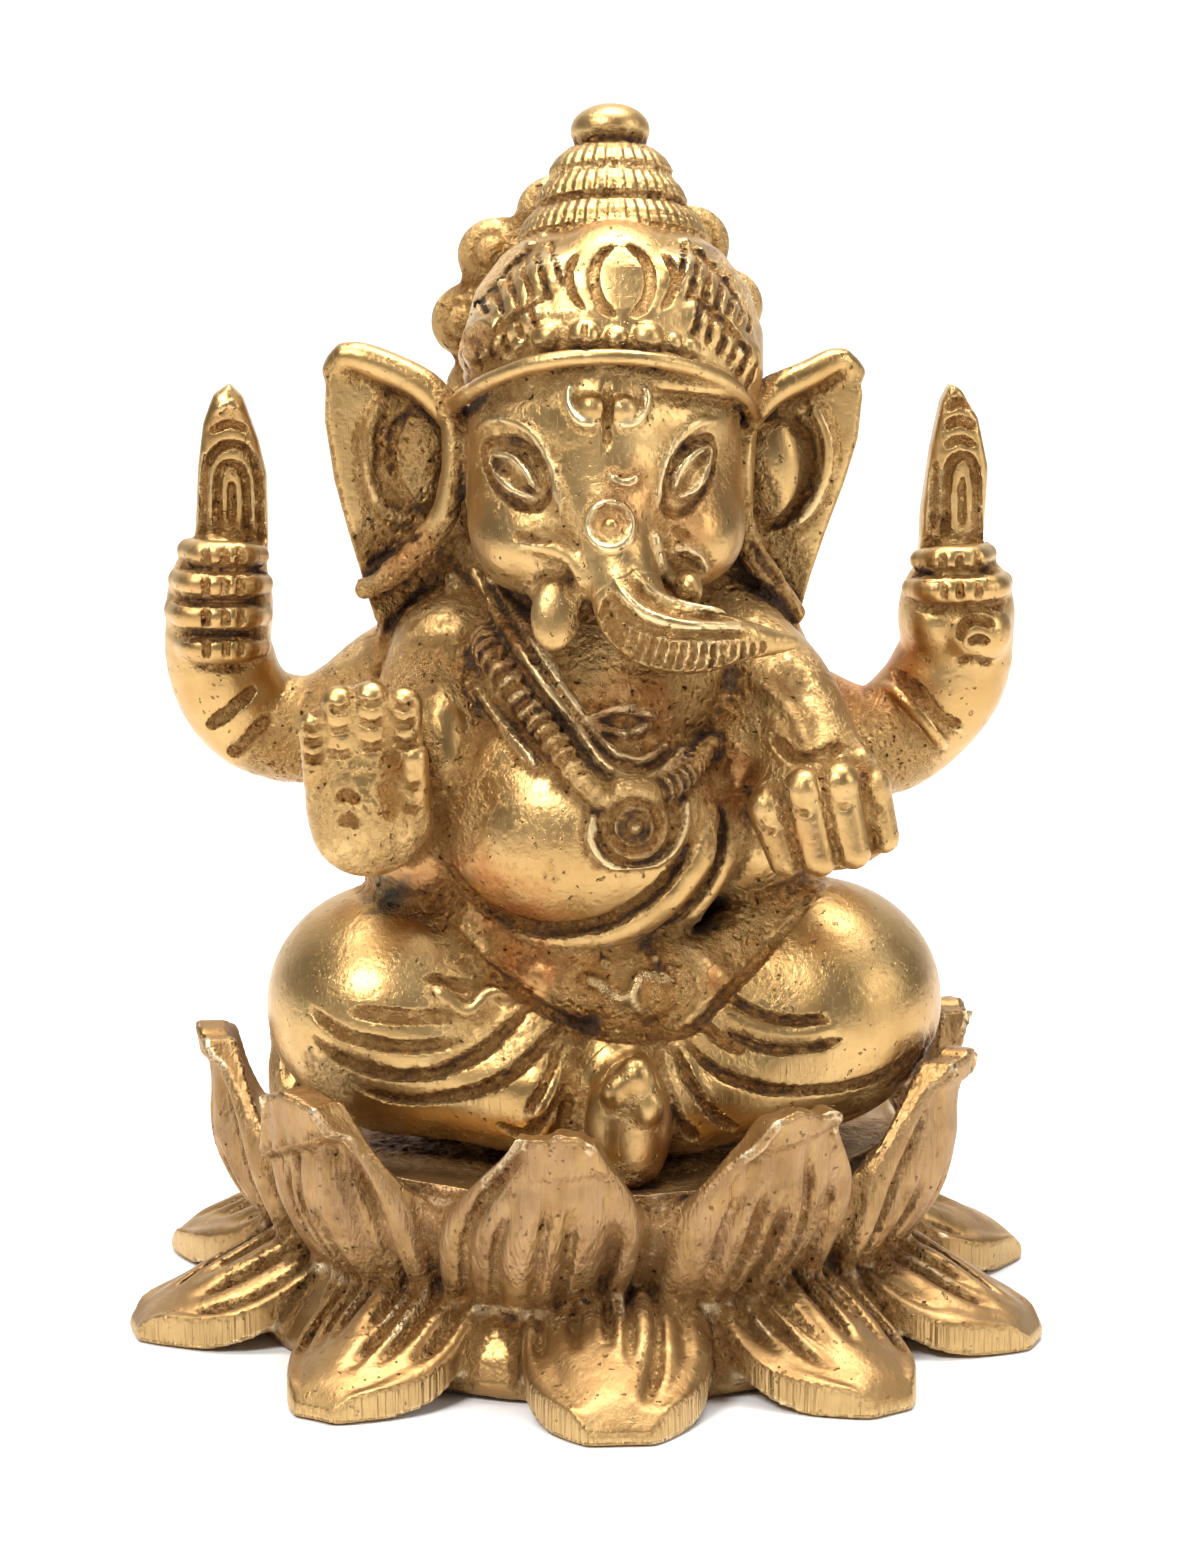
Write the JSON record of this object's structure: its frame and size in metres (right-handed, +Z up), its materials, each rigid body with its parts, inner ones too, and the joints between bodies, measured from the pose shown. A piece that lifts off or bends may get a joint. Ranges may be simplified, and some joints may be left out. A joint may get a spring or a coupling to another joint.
{
  "type": "hindu deity statue",
  "caption": "Seated elephant-headed deity in cast brass, with tiered crown, curled trunk, raised rear arms and garland, on a double lotus base.",
  "frame": {"origin": "centre of the bounding box on the plane the petals stand on", "axes": "+Z up, the figure faces -Y, +X is toward the figure's left hand"},
  "size_m": [0.0778, 0.08, 0.1019],
  "materials": {
    "figure_brass": "cast and hand-filed brass, bright on the high parts, with dark brown patina and grain in the hollows",
    "lotus_brass": "cast brass with filed edges, worn bright at the petal tips and brown in the grooves",
    "fixing_steel": "plain zinc-plated steel"
  },
  "bodies": {
    "root": {"lotus_core": "lotus_brass", "lower_petal_1": "lotus_brass", "lower_petal_2": "lotus_brass", "lower_petal_3": "lotus_brass", "lower_petal_4": "lotus_brass", "lower_petal_5": "lotus_brass", "lower_petal_6": "lotus_brass", "lower_petal_7": "lotus_brass", "lower_petal_8": "lotus_brass", "lower_petal_9": "lotus_brass", "lower_petal_10": "lotus_brass", "seat_plate": "lotus_brass", "upper_petal_1": "lotus_brass", "upper_petal_2": "lotus_brass", "upper_petal_3": "lotus_brass", "upper_petal_4": "lotus_brass", "upper_petal_5": "lotus_brass", "upper_petal_6": "lotus_brass", "upper_petal_7": "lotus_brass", "upper_petal_8": "lotus_brass", "upper_petal_9": "lotus_brass", "upper_petal_10": "lotus_brass", "washer": "fixing_steel", "fixing_screw": "fixing_steel", "hips": "figure_brass", "belly": "figure_brass", "torso": "figure_brass", "right_leg": "figure_brass", "left_leg": "figure_brass", "waist_sash": "figure_brass", "apron_fold": "figure_brass", "right_foot": "figure_brass", "head": "figure_brass", "right_tusk": "figure_brass", "left_tusk": "figure_brass", "trunk": "figure_brass", "crown_rim": "figure_brass", "crown_dome": "figure_brass", "crown_plaque": "figure_brass", "crown_tier_lower": "figure_brass", "crown_tier_middle": "figure_brass", "crown_tier_upper": "figure_brass", "crown_finial": "figure_brass", "right_front_hand": "figure_brass", "left_front_hand": "figure_brass", "right_front_arm": "figure_brass", "left_front_arm": "figure_brass", "right_rear_fist": "figure_brass", "left_rear_fist": "figure_brass", "right_rear_arm": "figure_brass", "left_rear_arm": "figure_brass", "pendant": "figure_brass", "garland": "figure_brass", "collar": "figure_brass", "right_emblem": "figure_brass", "left_emblem": "figure_brass", "right_ear": "figure_brass", "left_ear": "figure_brass", "back_disc": "figure_brass"}
  },
  "joints": []
}
